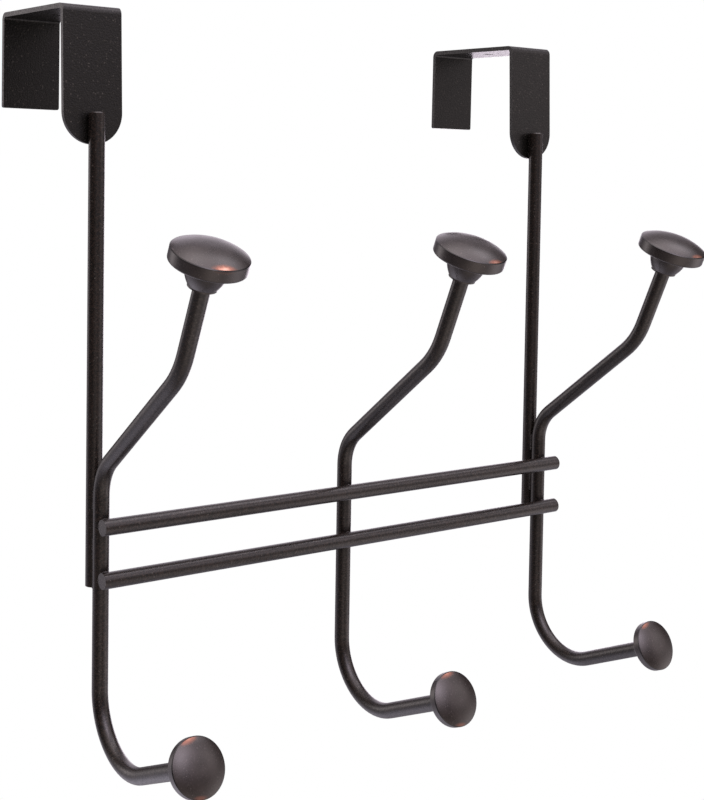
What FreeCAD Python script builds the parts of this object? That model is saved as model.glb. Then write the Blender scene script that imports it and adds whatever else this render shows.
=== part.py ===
import FreeCAD, Part
import math
import os
import Sketcher
from FreeCAD import Vector

# Over door hook. Two bent straps hang over the top of a door and carry two upright rods.
# Three bent hook rods, each with an upper and a lower knob, are joined by two crossbars.
# X runs along the crossbars, Y from the room towards the door, Z up, in millimetres.
# The origin is the middle of the door seat, half way between the straps and between the faces of
# the door, level with the middle of the underside of the strap tops.

doc = FreeCAD.newDocument("over_door_hook")
dims = doc.addObject("Spreadsheet::Sheet", "dims")

DRIVING = (
    ("strap_spacing", 207.8, "from the middle of one strap to the middle of the other"),
    ("strap_width", 22.2, "width of the sheet strap"),
    ("strap_thick", 1.7, "thickness of the coated sheet"),
    ("strap_bend", 0.9, "inner radius of both bends"),
    ("door_gap", 46.5, "between the legs at the seat, for a door 1 3/4 in thick"),
    ("top_rise", 1.5, "degrees that the strap top rises towards the rear leg"),
    ("front_leg", 46.2, "seat down to the round end of the front leg"),
    ("rear_leg", 32.1, "seat down to the square end of the rear leg"),
    ("front_lean", 1.8, "degrees that the front leg leans away from the door"),
    ("rear_lean", 0.5, "degrees that the rear leg leans away from the door"),
    ("rear_corner", 0.8, "rounding of the two lower corners of the rear leg"),
    ("strap_hole", 5.0, "hole in the middle of the strap top"),
    ("rod_dia", 5.6, "wire of the uprights, hooks and crossbars"),
    ("rod_bevel", 0.4, "bevel round the cut ends of the wire"),
    ("weld_sink", 0.2, "how far two welded pieces sink into each other"),
    ("upright_lap", 10.9, "length of the upright welded to the front leg"),
    ("upright_foot", 1.5, "length of the upright below the lower crossbar"),
    ("bar_drop", 174.6, "seat down to the middle of the upper crossbar"),
    ("bar_pitch", 18.1, "between the two crossbars"),
    ("bar_left_end", 2.4, "crossbars past the middle of the left upright"),
    ("bar_right_end", 4.8, "crossbars past the middle of the right upright"),
    ("hook_rise", 9.6, "straight wire above the upper crossbar"),
    ("root_bend", 16.0, "radius where the hook leaves the upright"),
    ("slant_angle", 52.5, "degrees from upright of the sloping run"),
    ("slant_run", 49.7, "straight length of the sloping run"),
    ("elbow_bend", 27.5, "radius where the hook turns up again"),
    ("tip_angle", 23.2, "degrees from upright of the last run"),
    ("tip_run", 22.9, "straight length from that bend to the upper knob"),
    ("hook_drop", 57.0, "straight wire below the upper crossbar"),
    ("foot_bend", 21.0, "radius of the bottom bend"),
    ("foot_angle", 24.0, "degrees that the lower hook rises"),
    ("foot_run", 30.2, "straight length from that bend to the lower knob"),
    ("upper_knob_dia", 24.8, "upper knob across its rim"),
    ("upper_knob_rim", 4.4, "height of the rim of the upper knob"),
    ("upper_knob_dome", 2.0, "rise of its domed face"),
    ("upper_neck_height", 7.2, "neck behind the upper knob"),
    ("upper_neck_top", 13.8, "neck where it joins the upper knob"),
    ("upper_neck_base", 8.4, "neck at the wire"),
    ("lower_knob_dia", 18.5, "lower knob across its rim"),
    ("lower_knob_rim", 3.1, "height of the rim of the lower knob"),
    ("lower_knob_dome", 1.5, "rise of its domed face"),
    ("lower_neck_height", 5.0, "neck behind the lower knob"),
    ("lower_neck_top", 10.6, "neck where it joins the lower knob"),
    ("lower_neck_base", 7.6, "neck at the wire"),
    ("knob_edge", 0.7, "rounding of the back edge of each knob"),
    ("knob_lip", 0.25, "bevel between the rim and the domed face of each knob"),
    ("neck_foot", 0.8, "straight foot of each neck, where the wire goes in"),
    ("socket_depth", 5.5, "depth of the socket that takes the end of the wire"),
)

DERIVED = (
    ("rod_rad", "rod_dia / 2", "radius of the wire"),
    ("seat_front", "-door_gap / 2", "inner face of the front legs at the seat"),
    ("lap_middle", "front_leg - upright_lap / 2", "seat down to the middle of the strap weld"),
    ("upright_y", "seat_front + weld_sink - rod_rad - lap_middle * tan(front_lean)"
     " - strap_thick / cos(front_lean)", "axis of the uprights"),
    ("flat_foot", "seat_front - front_leg * tan(front_lean) - strap_thick / cos(front_lean)"
     " - upright_y", "axis of the uprights to the front of the strap at its foot"),
    ("hook_y", "upright_y - rod_dia + weld_sink", "axis of the hooks' upright run"),
    ("bar_y", "hook_y - rod_dia + weld_sink", "axis of the crossbars"),
    ("groove_runout", "sqrt(2 * (root_bend + rod_rad) * weld_sink)",
     "how far above its straight run the bending hook still sinks into the upright"),
    ("upright_bottom", "-bar_drop - bar_pitch - rod_rad - upright_foot", "foot of the uprights"),
    ("foot_turn", "90 + foot_angle", "degrees turned by the bottom bend"),
    ("upper_knob_y", "hook_y - root_bend * (1 - cos(slant_angle)) - slant_run * sin(slant_angle)"
     " - elbow_bend * (cos(tip_angle) - cos(slant_angle)) - tip_run * sin(tip_angle)",
     "base of the upper knobs"),
    ("upper_knob_z", "-bar_drop + hook_rise + root_bend * sin(slant_angle)"
     " + slant_run * cos(slant_angle) + elbow_bend * (sin(slant_angle) - sin(tip_angle))"
     " + tip_run * cos(tip_angle)", "base of the upper knobs"),
    ("lower_knob_y", "hook_y - foot_bend * (1 - cos(foot_turn)) - foot_run * sin(foot_turn)",
     "base of the lower knobs"),
    ("lower_knob_z", "-bar_drop - hook_drop - foot_bend * sin(foot_turn)"
     " - foot_run * cos(foot_turn)", "base of the lower knobs"),
)

for row, (alias, value, note) in enumerate(DRIVING, start=1):
    dims.set("A%d" % row, note)
    dims.set("B%d" % row, "%g" % value)
    dims.setAlias("B%d" % row, alias)
for row, (alias, formula, note) in enumerate(DERIVED, start=len(DRIVING) + 1):
    dims.set("A%d" % row, note)
    dims.set("B%d" % row, "=" + formula)
    dims.setAlias("B%d" % row, alias)
doc.recompute()

START, END, CENTRE = range(1, 4)
H_AXIS, V_AXIS = range(-1, -3, -1)
ROOT = H_AXIS


def value(formula):
    """Value of a formula of the sheet's cells, as a plain number."""
    return float(dims.evalExpression(formula))


def sketch_on(body, role, name):
    """Sketch on one of the body's own origin planes."""
    sketch = body.newObject("Sketcher::SketchObject", name)
    plane = [feature for feature in body.Origin.OriginFeatures if feature.Role == role][0]
    sketch.AttachmentSupport = [(plane, "")]
    sketch.MapMode = "FlatFace"
    return sketch


def tie(sketch, *rule):
    """Geometric constraint without a size."""
    sketch.addConstraint(Sketcher.Constraint(*rule))


def size(sketch, formula, kind, *places):
    """Constraint whose size follows the sheet. An angle's formula is in degrees."""
    number = value(formula)
    if kind == "Angle":
        rule = Sketcher.Constraint(kind, *places, math.radians(number))
        formula = "(%s) * 1 deg" % formula
    else:
        rule = Sketcher.Constraint(kind, *places, number)
    index = sketch.addConstraint(rule)
    sketch.setExpression("Constraints[%d]" % index, formula)


def run(sketch, at, heading, length):
    """Straight line from a point. Gives its number and its far end."""
    to = at + Vector(math.cos(heading), math.sin(heading), 0) * length
    return sketch.addGeometry(Part.LineSegment(at, to)), to


def bend(sketch, at, heading, radius, turn):
    """Arc that turns the heading, to the left where turn is positive.

    Gives its number, its far end, the new heading, and which of its ends come first and last.
    """
    side = math.copysign(1, turn)
    middle = at + Vector(-math.sin(heading), math.cos(heading), 0) * side * radius
    first = heading - side * math.pi / 2
    last = first + turn
    circle = Part.Circle(middle, Vector(0, 0, 1), radius)
    number = sketch.addGeometry(Part.ArcOfCircle(circle, min(first, last), max(first, last)))
    to = middle + Vector(math.cos(last), math.sin(last), 0) * radius
    ends = (START, END) if side > 0 else (END, START)
    return number, to, heading + turn, ends


def bent_path(sketch, heading, steps):
    """Path from the sketch's origin along its vertical axis: runs and bends in turn.

    A run is its length. A bend is its radius and the degrees that it turns.
    """
    at = Vector(0, 0, 0)
    last, last_end = None, None
    for step in steps:
        if len(step) == 1:
            number, at = run(sketch, at, heading, value(step[0]))
            ends = (START, END)
            size(sketch, step[0], "Distance", number)
        else:
            radius, degrees, side = step
            turn = math.radians(value(degrees)) * side
            number, at, heading, ends = bend(sketch, at, heading, value(radius), turn)
            size(sketch, radius, "Radius", number)
            size(sketch, degrees, "Angle", number)
        if last is None:
            tie(sketch, "Coincident", number, START, ROOT, START)
            tie(sketch, "Vertical", number)
        else:
            tie(sketch, "Tangent", last, last_end, number, ends[0])
        last, last_end = number, ends[1]


def body_at(label, x="0", y="0", z="0", tilt="0"):
    """Body placed from the sheet, tilted by some degrees from +Z towards the room."""
    body = doc.addObject("PartDesign::Body", label)
    body.Label = label
    spot = "vector(%s; %s; %s)" % (x, y, z)
    body.setExpression("Placement", "placement(%s; rotation(vector(1; 0; 0); %s))" % (spot, tilt))
    return body


def pad(body, sketch, name, length, both_ways=False):
    feature = body.newObject("PartDesign::Pad", name)
    feature.Profile = sketch
    feature.SideType = "Symmetric" if both_ways else "One side"
    feature.setExpression("Length", length)
    return feature


def pocket(body, sketch, name, length=None, both_ways=False, other_way=False):
    """Cut along the sketch's normal, through all where no length is given."""
    feature = body.newObject("PartDesign::Pocket", name)
    feature.Profile = sketch
    feature.SideType = "Symmetric" if both_ways else "One side"
    feature.Reversed = other_way
    if length is None:
        feature.Type = "ThroughAll"
    else:
        feature.setExpression("Length", length)
    return feature


def ring(sketch, radius, x="0", y="0"):
    """Circle with its centre placed from the sheet."""
    spot = Vector(value(x), value(y), 0)
    number = sketch.addGeometry(Part.Circle(spot, Vector(0, 0, 1), value(radius)))
    size(sketch, radius, "Radius", number)
    place(sketch, number, CENTRE, x, y)
    return number


def place(sketch, number, end, x, y):
    """Put one point of the sketch where two formulas say. A formula of "0" is an axis."""
    if x == "0":
        tie(sketch, "PointOnObject", number, end, V_AXIS)
    else:
        size(sketch, x, "DistanceX", ROOT, START, number, end)
    if y == "0":
        tie(sketch, "PointOnObject", number, end, H_AXIS)
    else:
        size(sketch, y, "DistanceY", ROOT, START, number, end)


# Door straps: one bent sheet each, with square rear leg and round-ended front leg


def strap_section(sketch):
    """Side view of the bent sheet, Y to the right and Z up."""
    thick = value("dims.strap_thick")
    radius = value("dims.strap_bend")
    gap = value("dims.door_gap")
    lean = math.radians(value("dims.front_lean"))
    rear_lean = math.radians(value("dims.rear_lean"))
    rise = math.radians(value("dims.top_rise"))
    front_leg = value("dims.front_leg")
    half_rise = gap / 2 * math.tan(rise)
    front_corner = -half_rise / (1 - math.tan(lean) * math.tan(rise))
    back_corner = half_rise / (1 + math.tan(rear_lean) * math.tan(rise))
    flat = (gap - back_corner * math.tan(rear_lean) - front_corner * math.tan(lean)) / math.cos(rise)
    faces = {}
    for name, offset in (("inner", 0.0), ("outer", thick)):
        heading = math.pi / 2 - lean
        outward = Vector(-math.sin(heading), math.cos(heading), 0) * offset
        at = Vector(-front_leg * math.tan(lean), -front_leg, 0) + outward
        bent = radius + offset
        corner = radius * math.tan((math.pi / 2 - lean - rise) / 2)
        rear_corner = radius * math.tan((math.pi / 2 - rear_lean + rise) / 2)
        leg_length = (front_leg + front_corner) / math.cos(lean) - corner
        leg, at = run(sketch, at, heading, leg_length)
        first, at, heading, first_ends = bend(sketch, at, heading, bent, rise - heading)
        top, at = run(sketch, at, heading, flat - corner - rear_corner)
        second, at, heading, second_ends = bend(
            sketch, at, heading, bent, rear_lean - math.pi / 2 - rise)
        rear_length = (value("dims.rear_leg") + back_corner) / math.cos(rear_lean) - rear_corner
        rear, at = run(sketch, at, heading, rear_length)
        tie(sketch, "Tangent", leg, END, first, first_ends[0])
        tie(sketch, "Tangent", first, first_ends[1], top, START)
        tie(sketch, "Tangent", top, END, second, second_ends[0])
        tie(sketch, "Tangent", second, second_ends[1], rear, START)
        faces[name] = (leg, first, top, second, rear)
    inner, outer = faces["inner"], faces["outer"]
    for straight in (0, 2, 4):
        tie(sketch, "Parallel", inner[straight], outer[straight])
    for curved in (1, 3):
        tie(sketch, "Coincident", inner[curved], CENTRE, outer[curved], CENTRE)
    for leg, end in ((0, START), (4, END)):
        points = [sketch.getPoint(face[leg], end) for face in (inner, outer)]
        cut = sketch.addGeometry(Part.LineSegment(*points))
        tie(sketch, "Coincident", cut, START, inner[leg], end)
        tie(sketch, "Coincident", cut, END, outer[leg], end)
        tie(sketch, "Perpendicular", cut, inner[leg])
        if leg == 0:
            size(sketch, "dims.strap_thick", "Distance", cut)
    tie(sketch, "PointOnObject", ROOT, START, inner[0])
    tie(sketch, "Equal", inner[1], inner[3])
    size(sketch, "dims.strap_bend", "Radius", inner[1])
    size(sketch, "dims.top_rise", "Angle", inner[2])
    size(sketch, "90 - dims.front_lean - dims.top_rise", "Angle", inner[1])
    size(sketch, "90 - dims.rear_lean + dims.top_rise", "Angle", inner[3])
    size(sketch, "-dims.front_leg", "DistanceY", ROOT, START, inner[0], START)
    size(sketch, "-dims.rear_leg", "DistanceY", ROOT, START, inner[4], END)
    for across, line in (("dims.door_gap", inner[4]), ("dims.door_gap / 2", inner[2])):
        mark = sketch.addGeometry(Part.Point(Vector(value(across), 0, 0)), True)
        size(sketch, across, "DistanceX", ROOT, START, mark, START)
        tie(sketch, "PointOnObject", mark, START, H_AXIS)
        tie(sketch, "PointOnObject", mark, START, line)


def round_end(sketch):
    """What is cut from the front leg to leave a half round end, seen from the door."""
    half = value("dims.strap_width / 2")
    middle = Vector(0, value("dims.strap_width / 2 - dims.front_leg"), 0)
    circle = Part.Circle(middle, Vector(0, 0, 1), half)
    arc = sketch.addGeometry(Part.ArcOfCircle(circle, math.pi, 2 * math.pi))
    size(sketch, "dims.strap_width / 2", "Radius", arc)
    place(sketch, arc, CENTRE, "0", "dims.strap_width / 2 - dims.front_leg")
    tie(sketch, "Horizontal", arc, START, arc, END)
    left = middle + Vector(-half, 0, 0)
    right = middle + Vector(half, 0, 0)
    down = Vector(0, -2 * half, 0)
    corners = (left, left + down, right + down, right)
    sides = [sketch.addGeometry(Part.LineSegment(*pair)) for pair in zip(corners, corners[1:])]
    tie(sketch, "Coincident", arc, START, sides[0], START)
    tie(sketch, "Coincident", sides[0], END, sides[1], START)
    tie(sketch, "Coincident", sides[1], END, sides[2], START)
    tie(sketch, "Coincident", sides[2], END, arc, END)
    tie(sketch, "Vertical", sides[0])
    tie(sketch, "Horizontal", sides[1])
    tie(sketch, "Vertical", sides[2])
    size(sketch, "dims.strap_width", "Distance", sides[0])


def rear_corner_edges(shape):
    """The two short edges through the sheet at the lower end of the rear leg."""
    thick = value("dims.strap_thick")
    middle = value("dims.door_gap / 2")
    names = []
    for number, edge in enumerate(shape.Edges, start=1):
        centre = edge.CenterOfGravity
        through = abs(edge.Length - thick) < thick / 10 and centre.y > middle
        if through and centre.z < -middle:
            names.append("Edge%d" % number)
    return names


def door_strap(label, x):
    body = body_at(label, x=x, y="dims.seat_front")
    side = sketch_on(body, "YZ_Plane", label + "_side")
    strap_section(side)
    pad(body, side, label + "_sheet", "dims.strap_width", both_ways=True)
    end = sketch_on(body, "XZ_Plane", label + "_end")
    round_end(end)
    bent_sheet = pocket(body, end, label + "_round_end", other_way=True)
    doc.recompute()
    corners = body.newObject("PartDesign::Fillet", label + "_rear_corners")
    corners.Base = (bent_sheet, rear_corner_edges(bent_sheet.Shape))
    corners.setExpression("Radius", "dims.rear_corner")
    hole = sketch_on(body, "XY_Plane", label + "_hole")
    ring(hole, "dims.strap_hole / 2", y="dims.door_gap / 2")
    pocket(body, hole, label + "_screw_hole", other_way=True)
    return body


# Uprights: straight wire, flattened against the strap and grooved along the hook


def upright(label, x):
    """The body's own origin is the foot of the upright."""
    body = body_at(label, x=x, y="dims.upright_y", z="dims.upright_bottom")
    section = sketch_on(body, "XY_Plane", label + "_section")
    ring(section, "dims.rod_rad")
    length = "dims.upright_lap - dims.front_leg - dims.upright_bottom"
    wire = pad(body, section, label + "_wire", length)
    bevel = body.newObject("PartDesign::Chamfer", label + "_bevel")
    bevel.Base = (wire, ["Edge1", "Edge3"])
    bevel.setExpression("Size", "dims.rod_bevel")
    flat = sketch_on(body, "YZ_Plane", label + "_flat")
    strap_face(flat)
    pocket(body, flat, label + "_strap_flat", both_ways=True)
    return body


def strap_face(sketch):
    """What the leaning front leg takes off the back of the upright, seen from the side."""
    lean = math.radians(value("dims.front_lean"))
    foot = value("-dims.front_leg - dims.upright_bottom")
    top = value("2 * dims.upright_lap")
    back = value("dims.rod_dia")
    at_foot = value("dims.flat_foot")
    low = Vector(at_foot, foot, 0)
    high = Vector(at_foot + top * math.tan(lean), foot + top, 0)
    corners = (low, Vector(back, foot, 0), Vector(back, foot + top, 0), high, low)
    sides = [sketch.addGeometry(Part.LineSegment(*pair)) for pair in zip(corners, corners[1:])]
    for this, following in zip(sides, sides[1:] + sides[:1]):
        tie(sketch, "Coincident", this, END, following, START)
    tie(sketch, "Horizontal", sides[0])
    tie(sketch, "Vertical", sides[1])
    tie(sketch, "Horizontal", sides[2])
    size(sketch, "2 * dims.upright_lap", "DistanceY", sides[1], START, sides[1], END)
    size(sketch, "dims.rod_dia", "DistanceX", ROOT, START, sides[1], START)
    size(sketch, "-dims.front_leg - dims.upright_bottom", "DistanceY", ROOT, START, sides[0], START)
    size(sketch, "dims.flat_foot", "DistanceX", ROOT, START, sides[0], START)
    size(sketch, "2 * dims.upright_lap * tan(dims.front_lean)",
         "DistanceX", sides[3], END, sides[3], START)


def hook_groove(sketch):
    """The hook's wire, which the front of the upright is welded along."""
    ring(sketch, "dims.rod_rad", y="dims.hook_y - dims.upright_y")


# Crossbars: straight wire with a shallow saddle where each hook crosses behind it


def crossbar(label, z):
    """The body's own origin is the left end of the bar."""
    body = body_at(label, x="-dims.strap_spacing / 2 - dims.bar_left_end", y="dims.bar_y", z=z)
    section = sketch_on(body, "YZ_Plane", label + "_section")
    ring(section, "dims.rod_rad")
    length = "dims.strap_spacing + dims.bar_left_end + dims.bar_right_end"
    wire = pad(body, section, label + "_wire", length)
    bevel = body.newObject("PartDesign::Chamfer", label + "_bevel")
    bevel.Base = (wire, ["Edge1", "Edge3"])
    bevel.setExpression("Size", "dims.rod_bevel")
    for name, half_spacings in (("left", 0), ("middle", 1), ("right", 2)):
        saddle = sketch_on(body, "XY_Plane", "%s_at_%s_hook" % (label, name))
        across = "dims.bar_left_end + dims.strap_spacing * %g" % (half_spacings / 2)
        ring(saddle, "dims.rod_rad", x=across, y="dims.hook_y - dims.bar_y")
        pocket(body, saddle, "%s_%s_saddle" % (label, name), "2 * dims.rod_dia", both_ways=True)
    return body


# Hooks: one bent wire each, swept both ways from the upper crossbar


def hook(label, x):
    """The body's own origin is on the hook's upright run, level with the upper crossbar."""
    body = body_at(label, x=x, y="dims.hook_y", z="-dims.bar_drop")
    section = sketch_on(body, "XY_Plane", label + "_section")
    ring(section, "dims.rod_rad")
    upper = sketch_on(body, "YZ_Plane", label + "_upper_path")
    bent_path(upper, math.pi / 2, (
        ("dims.hook_rise",),
        ("dims.root_bend", "dims.slant_angle", 1),
        ("dims.slant_run",),
        ("dims.elbow_bend", "dims.slant_angle - dims.tip_angle", -1),
        ("dims.tip_run + dims.socket_depth",),
    ))
    lower = sketch_on(body, "YZ_Plane", label + "_lower_path")
    bent_path(lower, -math.pi / 2, (
        ("dims.hook_drop",),
        ("dims.foot_bend", "dims.foot_turn", -1),
        ("dims.foot_run + dims.socket_depth",),
    ))
    for name, path in (("upper", upper), ("lower", lower)):
        wire = body.newObject("PartDesign::AdditivePipe", "%s_%s_wire" % (label, name))
        wire.Profile = section
        wire.Spine = (path, [])
    return body


# Knobs: turned castings with a domed face, a straight rim and a cup-shaped neck


def knob_section(sketch, which):
    """Half section of a knob, with its axis upright and the base of its neck at zero."""
    names = ("knob_dia", "knob_rim", "knob_dome", "neck_height", "neck_top", "neck_base")
    dia, rim, dome, neck, neck_top, neck_base = ("dims.%s_%s" % (which, name) for name in names)
    rim_rad = value(dia) / 2
    edge = value("dims.knob_edge")
    neck_high = value(neck)
    face = neck_high + value(rim)
    wire_rad = value("dims.rod_rad")
    floor = value("dims.socket_depth")
    base_rad = value(neck_base) / 2
    top_rad = value(neck_top) / 2
    step = top_rad - base_rad
    foot = value("dims.neck_foot")
    lip = value("dims.knob_lip")
    swell = (step * step + (neck_high - foot) ** 2) / (2 * step)
    rise = value(dome)
    face_rad = rim_rad - lip
    dome_rad = (face_rad * face_rad + rise * rise) / (2 * rise)

    def line(x1, y1, x2, y2):
        return sketch.addGeometry(Part.LineSegment(Vector(x1, y1, 0), Vector(x2, y2, 0)))

    def arc(x, y, radius, first, last):
        circle = Part.Circle(Vector(x, y, 0), Vector(0, 0, 1), radius)
        return sketch.addGeometry(Part.ArcOfCircle(circle, first, last))

    base = line(wire_rad, 0, base_rad, 0)
    foot_side = line(base_rad, 0, base_rad, foot)
    cup = arc(top_rad - swell, neck_high, swell, -math.asin((neck_high - foot) / swell), 0)
    back = line(top_rad, neck_high, rim_rad - edge, neck_high)
    corner = arc(rim_rad - edge, neck_high + edge, edge, -math.pi / 2, 0)
    wall = line(rim_rad, neck_high + edge, rim_rad, face - lip)
    bevel = line(rim_rad, face - lip, face_rad, face)
    cap = arc(0, face + rise - dome_rad, dome_rad, math.acos(face_rad / dome_rad), math.pi / 2)
    axis = line(0, face + rise, 0, floor)
    bottom = line(0, floor, wire_rad, floor)
    socket = line(wire_rad, floor, wire_rad, 0)

    tie(sketch, "Coincident", base, END, foot_side, START)
    tie(sketch, "Coincident", foot_side, END, cup, START)
    tie(sketch, "Coincident", cup, END, back, START)
    tie(sketch, "Horizontal", cup, CENTRE, cup, END)
    tie(sketch, "Tangent", back, END, corner, START)
    tie(sketch, "Tangent", corner, END, wall, START)
    tie(sketch, "Coincident", wall, END, bevel, START)
    tie(sketch, "Coincident", bevel, END, cap, START)
    tie(sketch, "PointOnObject", cap, CENTRE, V_AXIS)
    tie(sketch, "Coincident", cap, END, axis, START)
    tie(sketch, "Coincident", axis, END, bottom, START)
    tie(sketch, "Coincident", bottom, END, socket, START)
    tie(sketch, "Coincident", socket, END, base, START)
    tie(sketch, "PointOnObject", base, START, H_AXIS)
    tie(sketch, "PointOnObject", axis, START, V_AXIS)
    tie(sketch, "PointOnObject", axis, END, V_AXIS)
    for level in (base, back, bottom):
        tie(sketch, "Horizontal", level)
    for upright_line in (foot_side, wall, socket):
        tie(sketch, "Vertical", upright_line)
    size(sketch, "dims.rod_rad", "DistanceX", ROOT, START, base, START)
    size(sketch, neck_base + " / 2", "DistanceX", ROOT, START, base, END)
    size(sketch, "dims.neck_foot", "Distance", foot_side)
    size(sketch, neck_top + " / 2", "DistanceX", ROOT, START, back, START)
    size(sketch, neck, "DistanceY", ROOT, START, back, START)
    size(sketch, "dims.knob_edge", "Radius", corner)
    size(sketch, dia + " / 2", "DistanceX", ROOT, START, wall, START)
    size(sketch, dia + " / 2 - dims.knob_lip", "DistanceX", ROOT, START, cap, START)
    size(sketch, "%s + %s" % (neck, rim), "DistanceY", ROOT, START, cap, START)
    size(sketch, "%s + %s - dims.knob_lip" % (neck, rim), "DistanceY", ROOT, START, wall, END)
    size(sketch, "%s + %s + %s" % (neck, rim, dome), "DistanceY", ROOT, START, cap, END)
    size(sketch, "dims.socket_depth", "DistanceY", ROOT, START, bottom, END)


def knob(label, which, x, y, z, tilt):
    """The body's own origin is the base of the neck, its Z axis that of the wire's end."""
    body = body_at(label, x=x, y=y, z=z, tilt=tilt)
    section = sketch_on(body, "XZ_Plane", label + "_section")
    knob_section(section, which)
    turned = body.newObject("PartDesign::Revolution", label + "_turned")
    turned.Profile = section
    turned.ReferenceAxis = (section, ["V_Axis"])
    turned.Angle = 360
    return body


HALF_SPACING = "dims.strap_spacing / 2"
parts = []
for name, x in (("left", "-" + HALF_SPACING), ("right", HALF_SPACING)):
    parts.append(door_strap(name + "_door_strap", x))
    parts.append(upright(name + "_upright", x))
    groove = sketch_on(parts[-1], "XY_Plane", name + "_groove")
    hook_groove(groove)
    pocket(parts[-1], groove, name + "_hook_groove",
           "dims.hook_rise + dims.groove_runout - dims.bar_drop - dims.upright_bottom",
           other_way=True)
parts.append(crossbar("upper_crossbar", "-dims.bar_drop"))
parts.append(crossbar("lower_crossbar", "-dims.bar_drop - dims.bar_pitch"))
for name, x in (("left", "-" + HALF_SPACING), ("middle", "0"), ("right", HALF_SPACING)):
    parts.append(hook(name + "_hook", x))
    parts.append(knob(name + "_upper_knob", "upper", x, "dims.upper_knob_y",
                      "dims.upper_knob_z", "dims.tip_angle"))
    parts.append(knob(name + "_lower_knob", "lower", x, "dims.lower_knob_y",
                      "dims.lower_knob_z", "90 - dims.foot_angle"))

doc.recompute()
faults = [item.Name for item in doc.Objects if "Invalid" in item.State or "Error" in item.State]
faults += [part.Label for part in parts if part.Shape.isNull() or not part.Shape.isValid()]
if faults:
    raise RuntimeError("not built: " + ", ".join(faults))
os.makedirs("parts", exist_ok=True)
for part in parts:
    part.Shape.exportStep("parts/%s.step" % part.Label)
    box = part.Shape.BoundBox
    print("%-20s solids %d volume %9.2f  X %8.2f %8.2f  Y %8.2f %8.2f  Z %8.2f %8.2f" % (
        part.Label, len(part.Shape.Solids), part.Shape.Volume,
        box.XMin, box.XMax, box.YMin, box.YMax, box.ZMin, box.ZMax))
for sketch in (item for item in doc.Objects if item.isDerivedFrom("Sketcher::SketchObject")):
    if sketch.solve() != 0:
        print("sketch not solved:", sketch.Name)
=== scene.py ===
import math

import bmesh
import bpy
from mathutils import Matrix, Vector


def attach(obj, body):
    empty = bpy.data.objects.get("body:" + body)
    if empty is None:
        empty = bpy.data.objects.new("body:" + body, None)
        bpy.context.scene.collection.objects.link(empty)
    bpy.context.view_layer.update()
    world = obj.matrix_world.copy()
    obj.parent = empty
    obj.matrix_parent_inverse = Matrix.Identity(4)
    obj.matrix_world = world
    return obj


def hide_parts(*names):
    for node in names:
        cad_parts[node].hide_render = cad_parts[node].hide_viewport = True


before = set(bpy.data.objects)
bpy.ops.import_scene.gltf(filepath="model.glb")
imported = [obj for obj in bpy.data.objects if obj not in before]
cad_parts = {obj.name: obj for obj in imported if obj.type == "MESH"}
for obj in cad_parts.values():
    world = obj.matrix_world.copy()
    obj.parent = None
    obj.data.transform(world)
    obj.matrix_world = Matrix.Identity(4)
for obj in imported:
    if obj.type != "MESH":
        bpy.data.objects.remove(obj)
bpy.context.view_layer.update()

# Over door rack of bent wire: two sheet straps, two uprights, two crossbars, three double hooks
# and six turned knobs. The pieces are taken in the order in which the rack is put together, and
# every size and place is in metres, in the frame of the CAD.


# The door straps are bent from sheet steel and hang over the top of the door. Like all of the
# steel frame they wear an oil bronze powder coat: near black brown, satin, with a fine grain of
# orange peel and a few metal flakes that catch the light.

STRAP_COLOUR = (0.0078, 0.0074, 0.0060, 1.0)
PIT_COLOUR = (0.0006, 0.0006, 0.0004, 1.0)
FLAKE_COLOUR = (0.085, 0.078, 0.068, 1.0)
GRAIN_SIZE = 0.00060
GRAIN_SPAN = (0.42, 0.62)
CLOUD_SPAN = (0.35, 0.75)
CLOUD_SHARE = 0.25
FLAKE_PITCH = 0.00085
FLAKE_CHOICE = (0.76, 1.0)
FLAKE_SHARE = 0.8
FLAKE_EDGE = (0.42, 0.10)
GLOSS_SPAN = (0.35, 0.65)
DULLER, GLOSSIER = 0.06, 0.08
PEEL_DEPTH = 0.00012


def node(tree, kind, **fields):
    made = tree.nodes.new(kind)
    for name, content in fields.items():
        setattr(made, name, content)
    return made


def live(sockets):
    """The sockets that a node shows in its present mode."""
    return [socket for socket in sockets if socket.enabled]


def feed(tree, sockets, contents):
    """Fill sockets in order. Each content is a value or the socket that it comes from."""
    for socket, content in zip(sockets, contents):
        if isinstance(content, bpy.types.NodeSocket):
            tree.links.new(content, socket)
        else:
            socket.default_value = content


def maths(tree, operation, *contents):
    made = node(tree, "ShaderNodeMath", operation=operation)
    feed(tree, made.inputs, contents)
    return made.outputs["Value"]


def spread(tree, source, span, wanted=(0.0, 1.0), smooth=False):
    """Stretch one span of a value over another."""
    made = node(tree, "ShaderNodeMapRange",
                interpolation_type="SMOOTHSTEP" if smooth else "LINEAR")
    for name, number in zip(("From Min", "From Max", "To Min", "To Max"), span + wanted):
        made.inputs[name].default_value = number
    tree.links.new(source, made.inputs["Value"])
    return made.outputs["Result"]


def noise(tree, place, size, detail):
    """Noise whose grains are about one size, in metres."""
    made = node(tree, "ShaderNodeTexNoise")
    made.inputs["Scale"].default_value = 1.0 / size
    made.inputs["Detail"].default_value = detail
    tree.links.new(place, made.inputs["Vector"])
    return made.outputs["Fac"]


def blend_colour(tree, share, first, second):
    """Mix of two colours. Each is a colour or a socket."""
    made = node(tree, "ShaderNodeMix", data_type="RGBA")
    feed(tree, live(made.inputs), (share, first, second))
    return live(made.outputs)[0]


def raised(tree, shader, height, depth, strength):
    bump = node(tree, "ShaderNodeBump")
    bump.inputs["Strength"].default_value = strength
    bump.inputs["Distance"].default_value = depth
    tree.links.new(height, bump.inputs["Height"])
    tree.links.new(bump.outputs["Normal"], shader.inputs["Normal"])


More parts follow.
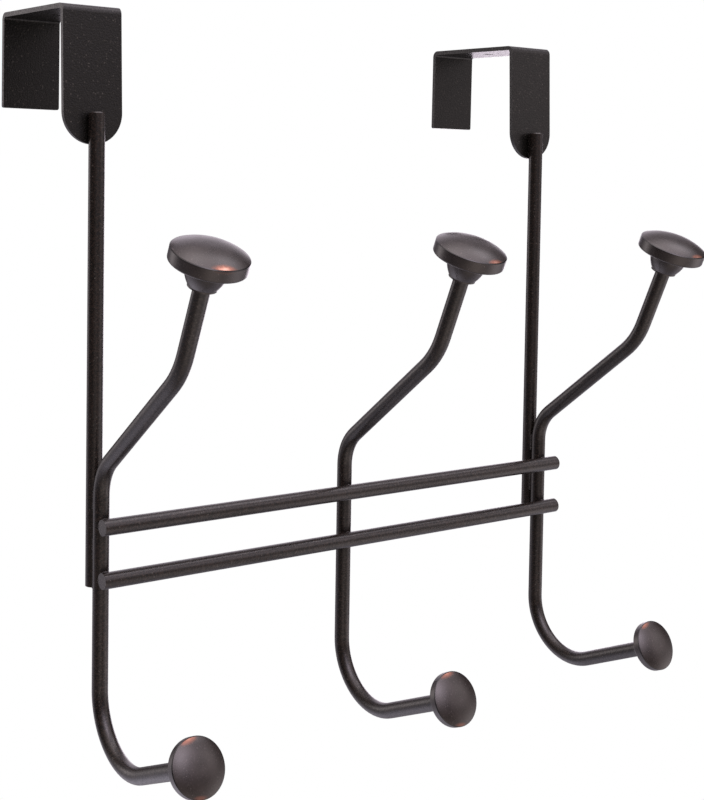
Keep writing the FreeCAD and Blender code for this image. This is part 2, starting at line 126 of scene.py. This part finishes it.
def powder_coat(name, colour, index, rough, cloud_size, peel):
    """Satin powder coat with orange peel of a given strength, soft clouds and sparse flakes."""
    mat = bpy.data.materials.new(name)
    mat.use_nodes = True
    tree = mat.node_tree
    shader = tree.nodes["Principled BSDF"]
    shader.inputs["IOR"].default_value = index
    place = node(tree, "ShaderNodeTexCoord").outputs["Object"]
    grain = noise(tree, place, GRAIN_SIZE, 2.0)
    clouds = noise(tree, place, cloud_size, 3.0)

    coat = blend_colour(tree, spread(tree, grain, GRAIN_SPAN), PIT_COLOUR, colour)
    coat = blend_colour(tree, spread(tree, clouds, CLOUD_SPAN, (0.0, CLOUD_SHARE)), coat, colour)

    flakes = node(tree, "ShaderNodeTexVoronoi")
    flakes.inputs["Scale"].default_value = 1.0 / FLAKE_PITCH
    tree.links.new(place, flakes.inputs["Vector"])
    chance = node(tree, "ShaderNodeSeparateColor")
    tree.links.new(flakes.outputs["Color"], chance.inputs["Color"])
    chosen = spread(tree, chance.outputs["Red"], FLAKE_CHOICE, (0.0, FLAKE_SHARE))
    dot = spread(tree, flakes.outputs["Distance"], FLAKE_EDGE)
    coat = blend_colour(tree, maths(tree, "MULTIPLY", chosen, dot), coat, FLAKE_COLOUR)
    tree.links.new(coat, shader.inputs["Base Color"])

    gloss = spread(tree, grain, GLOSS_SPAN, (rough + DULLER, rough - GLOSSIER))
    tree.links.new(gloss, shader.inputs["Roughness"])
    raised(tree, shader, grain, PEEL_DEPTH, peel)
    return mat


def dress(nodes, mat):
    """Put one material on CAD nodes, whose shape and place stay as they are."""
    for name in nodes:
        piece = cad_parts[name]
        if not piece.material_slots:
            piece.data.materials.append(mat)
        for place in piece.material_slots:
            place.material = mat


strap_coat = powder_coat("strap_powder_coat", STRAP_COLOUR, index=1.42, rough=0.33,
                         cloud_size=0.012, peel=0.80)
dress(("left_door_strap", "right_door_strap"), strap_coat)


# The uprights, crossbars and hooks are cut and bent from 5.6 mm wire and welded, then coated with
# the straps. On the wire the coat is a little thinner, browner and glossier than on the sheet.

WIRE_COLOUR = (0.0220, 0.0160, 0.0128, 1.0)

wire_coat = powder_coat("wire_powder_coat", WIRE_COLOUR, index=1.5, rough=0.29,
                        cloud_size=0.020, peel=0.30)
dress(("left_upright", "right_upright", "upper_crossbar", "lower_crossbar",
       "left_hook", "middle_hook", "right_hook"), wire_coat)


# The hooks are welded where they cross the crossbars and along the runs that they share with the
# uprights, and each upright on both sides where it laps its strap. The welds are small rippled
# beads of the same steel, under the same coat.

WELD_PITCH = 0.00055
WELD_BEAD = 0.00050
WELD_UNEVEN = 0.22
WELD_SEED = 7
BEAD_DIVISIONS = 2
HOOK_SPACING = 0.1039
CROSSING_Y = -0.03693
CROSSING_RING = 0.0021
RING_SIDES = 24
BAR_HEIGHTS = (-0.1746, -0.1927)
WELD_SIDE = 0.00150
RUN_Y = -0.03153
RUN_TACKS = ((-0.1638, -0.1695), (-0.1800, -0.1868), (-0.1960, -0.1968))
LAP_Y = -0.02655
LAP_TACK = (-0.0363, -0.0452)


def weld_paths():
    """Lines that the beads follow: a ring at each crossing, straight tacks elsewhere."""
    turns = [math.radians(360.0 * step / RING_SIDES) for step in range(RING_SIDES + 1)]
    lines = []
    for x in (-HOOK_SPACING, 0.0, HOOK_SPACING):
        for z in BAR_HEIGHTS:
            lines.append([(x + CROSSING_RING * math.cos(turn), CROSSING_Y,
                           z + CROSSING_RING * math.sin(turn)) for turn in turns])
    for x in (-HOOK_SPACING, HOOK_SPACING):
        for side in (x - WELD_SIDE, x + WELD_SIDE):
            for tack in RUN_TACKS:
                lines.append([(side, RUN_Y, z) for z in tack])
            lines.append([(side, LAP_Y, z) for z in LAP_TACK])
    points, edges = [], []
    for line in lines:
        first = len(points)
        edges += [(first + step, first + step + 1) for step in range(len(line) - 1)]
        points += line
    mesh = bpy.data.meshes.new("weld_lines")
    mesh.from_pydata(points, edges, [])
    return mesh


def bead_tree():
    """Beads laid one over the other along every line of the piece."""
    tree = bpy.data.node_groups.new("weld_bead_run", "GeometryNodeTree")
    for label, way, kind in (
            ("Lines", "INPUT", "Geometry"), ("Pitch", "INPUT", "Float"), ("Bead", "INPUT", "Float"),
            ("Uneven", "INPUT", "Float"), ("Seed", "INPUT", "Int"), ("Coat", "INPUT", "Material"),
            ("Beads", "OUTPUT", "Geometry")):
        tree.interface.new_socket(label, in_out=way, socket_type="NodeSocket" + kind)
    given = node(tree, "NodeGroupInput").outputs
    line = node(tree, "GeometryNodeMeshToCurve")
    steps = node(tree, "GeometryNodeResampleCurve", mode="LENGTH")
    bead = node(tree, "GeometryNodeMeshIcoSphere")
    bead.inputs["Subdivisions"].default_value = BEAD_DIVISIONS
    size = node(tree, "FunctionNodeRandomValue", data_type="FLOAT")
    feed(tree, live(size.inputs), (maths(tree, "SUBTRACT", 1.0, given["Uneven"]),
                                   maths(tree, "ADD", 1.0, given["Uneven"])))
    laid = node(tree, "GeometryNodeInstanceOnPoints")
    real = node(tree, "GeometryNodeRealizeInstances")
    smooth = node(tree, "GeometryNodeSetShadeSmooth")
    coated = node(tree, "GeometryNodeSetMaterial")
    out = node(tree, "NodeGroupOutput")
    for start, end in (
            (given["Lines"], line.inputs["Mesh"]),
            (line.outputs["Curve"], steps.inputs["Curve"]),
            (given["Pitch"], steps.inputs["Length"]),
            (given["Bead"], bead.inputs["Radius"]),
            (given["Seed"], size.inputs["Seed"]),
            (steps.outputs["Curve"], laid.inputs["Points"]),
            (bead.outputs["Mesh"], laid.inputs["Instance"]),
            (live(size.outputs)[0], laid.inputs["Scale"]),
            (laid.outputs["Instances"], real.inputs["Geometry"]),
            (real.outputs["Geometry"], smooth.inputs["Geometry"]),
            (smooth.outputs["Geometry"], coated.inputs["Geometry"]),
            (given["Coat"], coated.inputs["Material"]),
            (coated.outputs["Geometry"], out.inputs["Beads"])):
        tree.links.new(start, end)
    return tree


maker = bpy.data.objects.new("weld_maker", weld_paths())
bpy.context.scene.collection.objects.link(maker)
run = maker.modifiers.new("beads", "NODES")
run.node_group = bead_tree()
settings = {"Pitch": WELD_PITCH, "Bead": WELD_BEAD, "Uneven": WELD_UNEVEN, "Seed": WELD_SEED,
            "Coat": wire_coat}
for socket in run.node_group.interface.items_tree:
    if socket.name in settings:
        run[socket.identifier] = settings[socket.name]
beads = bpy.data.meshes.new_from_object(
    maker.evaluated_get(bpy.context.evaluated_depsgraph_get()))
beads.name = "weld_beads"
maker.modifiers.remove(run)
bpy.data.objects.remove(maker)
welds = bpy.data.objects.new("weld_beads", beads)
bpy.context.scene.collection.objects.link(welds)
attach(welds, "root")


# The knobs are turned from brass, blackened and lacquered as oil rubbed bronze, and pressed on the
# ends of the hooks. Handling has rubbed the edge of each face through to copper in one or two
# places. Where face and rim meet, a thin near black line is a painted dark reflection of the edge.

# In a form, base is the y and z of the middle of the neck's end, and tilt is in degrees.
FORMS = {
    "upper": dict(base=(-0.09745, -0.09002), tilt=23.2, radius=0.0124, rim_foot=0.0072,
                  rim_top=0.0116, dome=0.0028, neck=0.0069, neck_foot=0.0047),
    "lower": dict(base=(-0.09133, -0.23850), tilt=66.0, radius=0.00925, rim_foot=0.0050,
                  rim_top=0.0081, dome=0.0018, neck=0.0053, neck_foot=0.0040),
}
WIRE_RADIUS = 0.0028
SOCKET = 0.0055
BACK_EDGE = 0.0007
LIP = 0.00025
FOOT = 0.0005
CUSHION = 2.5
NECK_STEPS, EDGE_STEPS, FACE_STEPS = 12, 8, 32
TURN_STEPS = 120
ON_AXIS = 1e-7
SHARP_EDGE = 32.0

BRONZE_LIGHT = (0.0270, 0.0205, 0.0180, 1.0)
BRONZE_DARK = (0.0150, 0.0115, 0.0102, 1.0)
BRONZE_SPECK = (0.110, 0.092, 0.090, 1.0)
# The next colour is a painted dark reflection, laid as a thin line at the top of the rim.
PAINTED_REFLECTION_LINE = (0.0015, 0.0012, 0.0012, 1.0)
COPPER = (0.42, 0.17, 0.11, 1.0)
COPPER_CORE = (0.66, 0.40, 0.31, 1.0)
BRONZE_INDEX = 1.68
BLOTCH_SIZE = 0.0045
BLOTCH_SPAN = (0.25, 0.75)
SPECK_SIZE = 0.0004
SPECK_SPAN = (0.63, 0.74)
SPECK_SHARE = 0.8
SATIN_SPAN = (0.3, 0.7)
SATIN = (0.24, 0.32)
TOOLING_SIZE, TOOLING_DEPTH, TOOLING_STRENGTH = 0.0007, 0.00003, 0.25
# Depth and softness of the band of painted dark reflection just below the top of the rim.
REFLECTION_LINE_DEPTH = 0.00042
REFLECTION_LINE_SOFT = 0.0001
REFLECTION_LINE_CRISP = 0.00002

# A worn spot is degrees round the face from +X towards the back, a length and a strength.
WEAR = {
    "left_upper_knob": ((-99, 0.0058, 0.95),),
    "middle_upper_knob": ((-86, 0.0044, 0.85),),
    "right_upper_knob": ((-88, 0.0044, 0.85),),
    "left_lower_knob": ((101, 0.0046, 0.75), (-100, 0.0034, 0.45)),
    "middle_lower_knob": ((98, 0.0046, 0.75), (-96, 0.0034, 0.45)),
    "right_lower_knob": ((108, 0.0042, 0.70),),
}
SPOT_INSET, SPOT_RISE = 0.0003, 0.0004
SPOT_ACROSS, SPOT_TALL = 0.42, 0.36
SPOT_FADE = (1.15, 0.20)
RAGGED_SIZE, RAGGED = 0.0011, 0.35
RIM_FADE = (0.0004, 0.0001)
RIM_SHARE = 0.2
CORE_SPAN = (0.55, 1.0)
METAL = (0.25, 0.95)


def worn_share(tree, own, form, spots):
    """How far the bronze is rubbed away, from 0 to 1, in the knob's own frame."""
    shares = []
    for angle, length, strength in spots:
        turn = math.radians(angle)
        reach = form["radius"] - SPOT_INSET
        spot = node(tree, "ShaderNodeMapping", vector_type="TEXTURE")
        spot.inputs["Location"].default_value = (
            reach * math.cos(turn), reach * math.sin(turn), form["rim_top"] + SPOT_RISE)
        spot.inputs["Rotation"].default_value = (0.0, 0.0, turn)
        spot.inputs["Scale"].default_value = (SPOT_ACROSS * length, length, SPOT_TALL * length)
        tree.links.new(own, spot.inputs["Vector"])
        away = node(tree, "ShaderNodeVectorMath", operation="LENGTH")
        tree.links.new(spot.outputs["Vector"], away.inputs[0])
        rubbed = noise(tree, own, RAGGED_SIZE, 3.0)
        ragged = maths(tree, "MULTIPLY_ADD", rubbed, RAGGED, away.outputs["Value"])
        shares.append(spread(tree, ragged, SPOT_FADE, (0.0, strength), smooth=True))
    worn = shares[0]
    for share in shares[1:]:
        worn = maths(tree, "MAXIMUM", worn, share)
    return worn


def rubbed_bronze(name, x, form, spots):
    """Finish of one knob: mottled bronze, worn spots, and a painted dark reflection at the top of
    the rim.
    """
    mat = bpy.data.materials.new(name)
    mat.use_nodes = True
    tree = mat.node_tree
    shader = tree.nodes["Principled BSDF"]
    shader.inputs["IOR"].default_value = BRONZE_INDEX
    place = node(tree, "ShaderNodeTexCoord").outputs["Object"]
    centred = node(tree, "ShaderNodeMapping", vector_type="TEXTURE")
    centred.inputs["Location"].default_value = (x, *form["base"])
    centred.inputs["Rotation"].default_value = (math.radians(form["tilt"]), 0.0, 0.0)
    tree.links.new(place, centred.inputs["Vector"])
    own = centred.outputs["Vector"]
    apart = node(tree, "ShaderNodeSeparateXYZ")
    tree.links.new(own, apart.inputs["Vector"])
    height = apart.outputs["Z"]
    top = form["rim_top"]

    blotches = noise(tree, own, BLOTCH_SIZE, 4.0)
    specks = noise(tree, own, SPECK_SIZE, 2.0)
    bronze = blend_colour(tree, spread(tree, blotches, BLOTCH_SPAN), BRONZE_DARK, BRONZE_LIGHT)
    bronze = blend_colour(tree, spread(tree, specks, SPECK_SPAN, (0.0, SPECK_SHARE)), bronze,
                          BRONZE_SPECK)

    on_face = spread(tree, height, (top - RIM_FADE[0], top - RIM_FADE[1]), (RIM_SHARE, 1.0))
    worn = maths(tree, "MULTIPLY", worn_share(tree, own, form, spots), on_face)
    bare = blend_colour(tree, spread(tree, worn, CORE_SPAN), COPPER, COPPER_CORE)
    bronze = blend_colour(tree, worn, bronze, bare)

    # Painted dark reflection: a thin band just under the top of the rim is mixed to near black.
    under = spread(tree, height, (top - REFLECTION_LINE_DEPTH - REFLECTION_LINE_SOFT, top - REFLECTION_LINE_DEPTH))
    over = spread(tree, height, (top - REFLECTION_LINE_CRISP, top + REFLECTION_LINE_CRISP), (1.0, 0.0))
    bronze = blend_colour(tree, maths(tree, "MULTIPLY", under, over), bronze, PAINTED_REFLECTION_LINE)
    tree.links.new(bronze, shader.inputs["Base Color"])

    tree.links.new(spread(tree, worn, (0.0, 1.0), METAL), shader.inputs["Metallic"])
    tree.links.new(spread(tree, blotches, SATIN_SPAN, SATIN), shader.inputs["Roughness"])
    raised(tree, shader, noise(tree, own, TOOLING_SIZE, 2.0), TOOLING_DEPTH, TOOLING_STRENGTH)
    return mat


def knob_profile(form):
    """Half section from the bottom of the socket, out and round to the middle of the face."""
    section = [(0.0, SOCKET), (WIRE_RADIUS, SOCKET), (WIRE_RADIUS, 0.0), (form["neck_foot"], 0.0),
               (form["neck_foot"], FOOT)]
    flare = form["neck"] - form["neck_foot"]
    tall = form["rim_foot"] - FOOT
    swell = (flare * flare + tall * tall) / (2.0 * flare)
    for step in range(1, NECK_STEPS + 1):
        rise = tall * step / NECK_STEPS
        section.append((form["neck"] - swell + math.sqrt(swell ** 2 - (tall - rise) ** 2),
                        FOOT + rise))
    for step in range(EDGE_STEPS + 1):
        turn = math.radians(90.0 * step / EDGE_STEPS)
        section.append((form["radius"] - BACK_EDGE + BACK_EDGE * math.sin(turn),
                        form["rim_foot"] + BACK_EDGE - BACK_EDGE * math.cos(turn)))
    section.append((form["radius"], form["rim_top"] - LIP))
    edge = form["radius"] - LIP
    for step in range(FACE_STEPS + 1):
        share = math.cos(math.radians(90.0 * step / FACE_STEPS))
        section.append((edge * share, form["rim_top"] + form["dome"] * (1.0 - share ** CUSHION)))
    return section


def turned_knob(name, x, form, mat):
    """Knob turned round its axis, with its place in its mesh."""
    place = (Matrix.Translation((x, *form["base"]))
             @ Matrix.Rotation(math.radians(form["tilt"]), 4, "X"))
    turns = [2.0 * math.pi * step / TURN_STEPS for step in range(TURN_STEPS)]
    shape = bmesh.new()
    rings = []
    for radius, height in knob_profile(form):
        around = [(radius * math.cos(turn), radius * math.sin(turn)) for turn in turns]
        if radius < ON_AXIS:
            around = [(0.0, 0.0)]
        rings.append([shape.verts.new(place @ Vector((*point, height))) for point in around])
    for lower, upper in zip(rings, rings[1:]):
        for step in range(TURN_STEPS):
            after = (step + 1) % TURN_STEPS
            corners = [lower[step % len(lower)], lower[after % len(lower)],
                       upper[after % len(upper)], upper[step % len(upper)]]
            shape.faces.new(list(dict.fromkeys(corners)))
    bmesh.ops.recalc_face_normals(shape, faces=shape.faces)
    mesh = bpy.data.meshes.new(name)
    shape.to_mesh(mesh)
    shape.free()
    mesh.materials.append(mat)
    mesh.shade_smooth()
    mesh.set_sharp_from_angle(angle=math.radians(SHARP_EDGE))
    piece = bpy.data.objects.new(name, mesh)
    bpy.context.scene.collection.objects.link(piece)
    return piece


for name, spots in WEAR.items():
    side, level = name.split("_")[:2]
    x = {"left": -HOOK_SPACING, "middle": 0.0, "right": HOOK_SPACING}[side]
    finish = rubbed_bronze(name + "_bronze", x, FORMS[level], spots)
    dress((name,), finish)
    piece = turned_knob(name + "_turned", x, FORMS[level], finish)
    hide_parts(name)
    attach(piece, "root")


# The studio is a light tent: white paper below, a bright ceiling, and soft panels with dark gaps
# between them at the height of the rack. Each panel is an azimuth from the back towards the right
# and a height, both in degrees, a tightness, and the light that it gives.

PANELS = {
    "ceiling_left": (-95, 55, 7, (1.08, 0.92, 0.90)),
    "ceiling_top": (0, 88, 24, (2.60, 2.40, 2.50)),
    "ceiling_front": (-176, 46, 13, (4.90, 4.30, 4.90)),
    "ceiling_back": (16, 32, 14, (1.18, 1.06, 1.22)),
    "ceiling_right": (133, 24, 22, (1.60, 1.42, 1.46)),
    "ceiling_bars": (102, 57, 28, (2.95, 2.72, 2.92)),
    "back_high": (40, 20, 16, (1.00, 0.90, 0.99)),
    "back_left": (-31, 6, 28, (2.30, 2.08, 2.10)),
    "back_right": (50, -5, 36, (3.20, 2.85, 3.20)),
    "paper_right": (122, -24, 10, (1.35, 1.20, 1.20)),
    "paper_front": (-165, -37, 8, (1.05, 0.90, 0.84)),
    "paper_left": (-28, -48, 8, (1.25, 1.18, 1.40)),
    "paper_below": (80, -50, 6, (0.28, 0.28, 0.36)),
}
CEILING, CEILING_SPAN = (0.60, 0.52, 0.54), (0.70, 0.95)
PAPER, PAPER_SPAN = (0.22, 0.19, 0.19), (-0.05, -0.45)
FLOOR_SIZE = 40.0
FLOOR_HEIGHT = -0.62
BLACK = (0.0, 0.0, 0.0, 1.0)
WHITE = (1.0, 1.0, 1.0, 1.0)

scene = bpy.context.scene
scene.view_settings.view_transform = "Standard"
scene.view_settings.look = "None"

bpy.ops.mesh.primitive_plane_add(size=FLOOR_SIZE, location=(0.0, 0.0, FLOOR_HEIGHT))
floor = bpy.context.object
floor.name = "studio_floor"
white = bpy.data.materials.new("white_paper")
white.use_nodes = True
white_shader = white.node_tree.nodes["Principled BSDF"]
white_shader.inputs["Base Color"].default_value = BLACK
white_shader.inputs["Specular IOR Level"].default_value = 0.0
white_shader.inputs["Emission Color"].default_value = WHITE
white_shader.inputs["Emission Strength"].default_value = 1.0
floor.data.materials.append(white)
floor.visible_diffuse = False
floor.visible_glossy = False
floor.visible_shadow = False


def lit(tree, share, light):
    made = node(tree, "ShaderNodeVectorMath", operation="SCALE")
    made.inputs[0].default_value = light
    tree.links.new(share, made.inputs["Scale"])
    return made.outputs["Vector"]


def panel(tree, toward, azimuth, height, tightness, light):
    """Light of a round soft panel, brightest at its middle."""
    turn, rise = math.radians(azimuth), math.radians(height)
    aim = node(tree, "ShaderNodeVectorMath", operation="DOT_PRODUCT")
    feed(tree, aim.inputs, (toward, (math.sin(turn) * math.cos(rise),
                                     math.cos(turn) * math.cos(rise), math.sin(rise))))
    fall = maths(tree, "MULTIPLY_ADD", aim.outputs["Value"], tightness, -tightness)
    return lit(tree, maths(tree, "EXPONENT", fall), light)


world = bpy.data.worlds.new("light_tent")
scene.world = world
world.use_nodes = True
tent = world.node_tree
toward = node(tent, "ShaderNodeTexCoord").outputs["Generated"]
apart = node(tent, "ShaderNodeSeparateXYZ")
tent.links.new(toward, apart.inputs["Vector"])
lights = [panel(tent, toward, *row) for row in PANELS.values()]
for light, span in ((CEILING, CEILING_SPAN), (PAPER, PAPER_SPAN)):
    lights.append(lit(tent, spread(tent, apart.outputs["Z"], span, smooth=True), light))
total = lights[0]
for light in lights[1:]:
    both = node(tent, "ShaderNodeVectorMath", operation="ADD")
    feed(tent, both.inputs, (total, light))
    total = both.outputs["Vector"]

# The camera itself sees plain white where nothing stands, as in the photograph.
glowing = tent.nodes["Background"]
tent.links.new(total, glowing.inputs["Color"])
backdrop = node(tent, "ShaderNodeBackground")
backdrop.inputs["Color"].default_value = WHITE
seen = node(tent, "ShaderNodeLightPath").outputs["Is Camera Ray"]
choice = node(tent, "ShaderNodeMixShader")
feed(tent, choice.inputs, (seen, glowing.outputs["Background"], backdrop.outputs["Background"]))
tent.links.new(choice.outputs["Shader"], tent.nodes["World Output"].inputs["Surface"])


# The camera stands to the front left, a little below the straps, and looks in almost level. The
# lens points left of and above the middle of the picture, so its shift is to the right and down.

EYE = (-0.31645, -0.44075, -0.06058)

camera = bpy.data.cameras.new("camera")
camera.sensor_fit = "HORIZONTAL"
camera.sensor_width = 36.0
camera.lens = 69.46
camera.shift_x = 0.1273
camera.shift_y = -0.2128
camera.clip_start = 0.01
camera.clip_end = 60.0
yaw, pitch, roll = 0.5984, -0.0449, -0.01327
ahead = Vector((math.sin(yaw) * math.cos(pitch), math.cos(yaw) * math.cos(pitch), math.sin(pitch)))
right = Vector((math.cos(yaw), -math.sin(yaw), 0.0))
down = ahead.cross(right)
right, down = (right * math.cos(roll) + down * math.sin(roll),
               down * math.cos(roll) - right * math.sin(roll))
turned = Matrix((right, -down, -ahead)).transposed().to_4x4()
stand = bpy.data.objects.new("camera", camera)
scene.collection.objects.link(stand)
stand.matrix_world = Matrix.Translation(EYE) @ turned
scene.camera = stand
